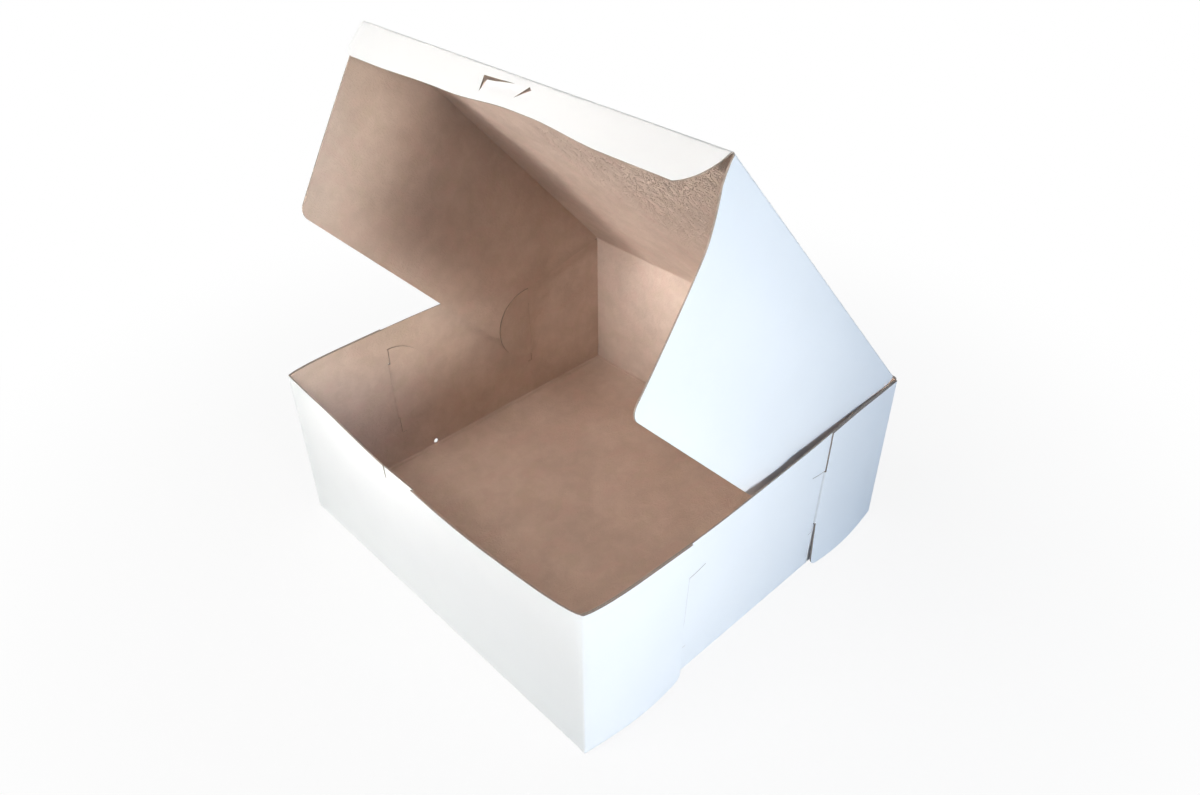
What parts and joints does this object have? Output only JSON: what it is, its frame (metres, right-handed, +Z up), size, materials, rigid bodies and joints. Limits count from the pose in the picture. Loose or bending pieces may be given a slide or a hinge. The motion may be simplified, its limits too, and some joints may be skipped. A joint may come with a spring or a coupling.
{
  "type": "bakery box",
  "caption": "Small square paperboard bakery box, white outside and kraft inside, with locked corner ears and a hinged lid with a front tuck flap and two side flaps.",
  "frame": {"origin": "middle of the tray's underside, midway between the bottom folds of its four walls", "axes": "+Z up from the surface the box stands on; -Y is the front, where the lid opens; +X is to the right seen from the front; the lid's hinge runs along X at the top of the back wall"},
  "size_m": [0.162, 0.1566, 0.1751],
  "materials": {
    "clay_coated_board": "satin white clay coat outside, bare kraft inside"
  },
  "bodies": {
    "tray": {"base_tray": "clay_coated_board"},
    "lid": {"lid_panel": "clay_coated_board"},
    "front_flap": {"lid_front_flap": "clay_coated_board"},
    "left_flap": {"lid_left_flap": "clay_coated_board"},
    "right_flap": {"lid_right_flap": "clay_coated_board"}
  },
  "joints": [
    {"name": "lid_hinge", "type": "hinge", "parent": "tray", "child": "lid", "pos_m": [0, 0.0762, 0.0635], "axis": [-1, 0, 0], "range_deg": [-47.8, 132.2]},
    {"name": "front_flap_crease", "type": "hinge", "parent": "lid", "child": "front_flap", "pos_m": [0, -0.02547, 0.17488], "axis": [-1, 0, 0], "range_deg": [0, 95]},
    {"name": "left_flap_crease", "type": "hinge", "parent": "lid", "child": "left_flap", "pos_m": [-0.07425, 0.07583, 0.06316], "axis": [0, -0.6717, 0.7408], "range_deg": [0, 85]},
    {"name": "right_flap_crease", "type": "hinge", "parent": "lid", "child": "right_flap", "pos_m": [0.07425, 0.07583, 0.06316], "axis": [0, 0.6717, -0.7408], "range_deg": [0, 85]}
  ]
}
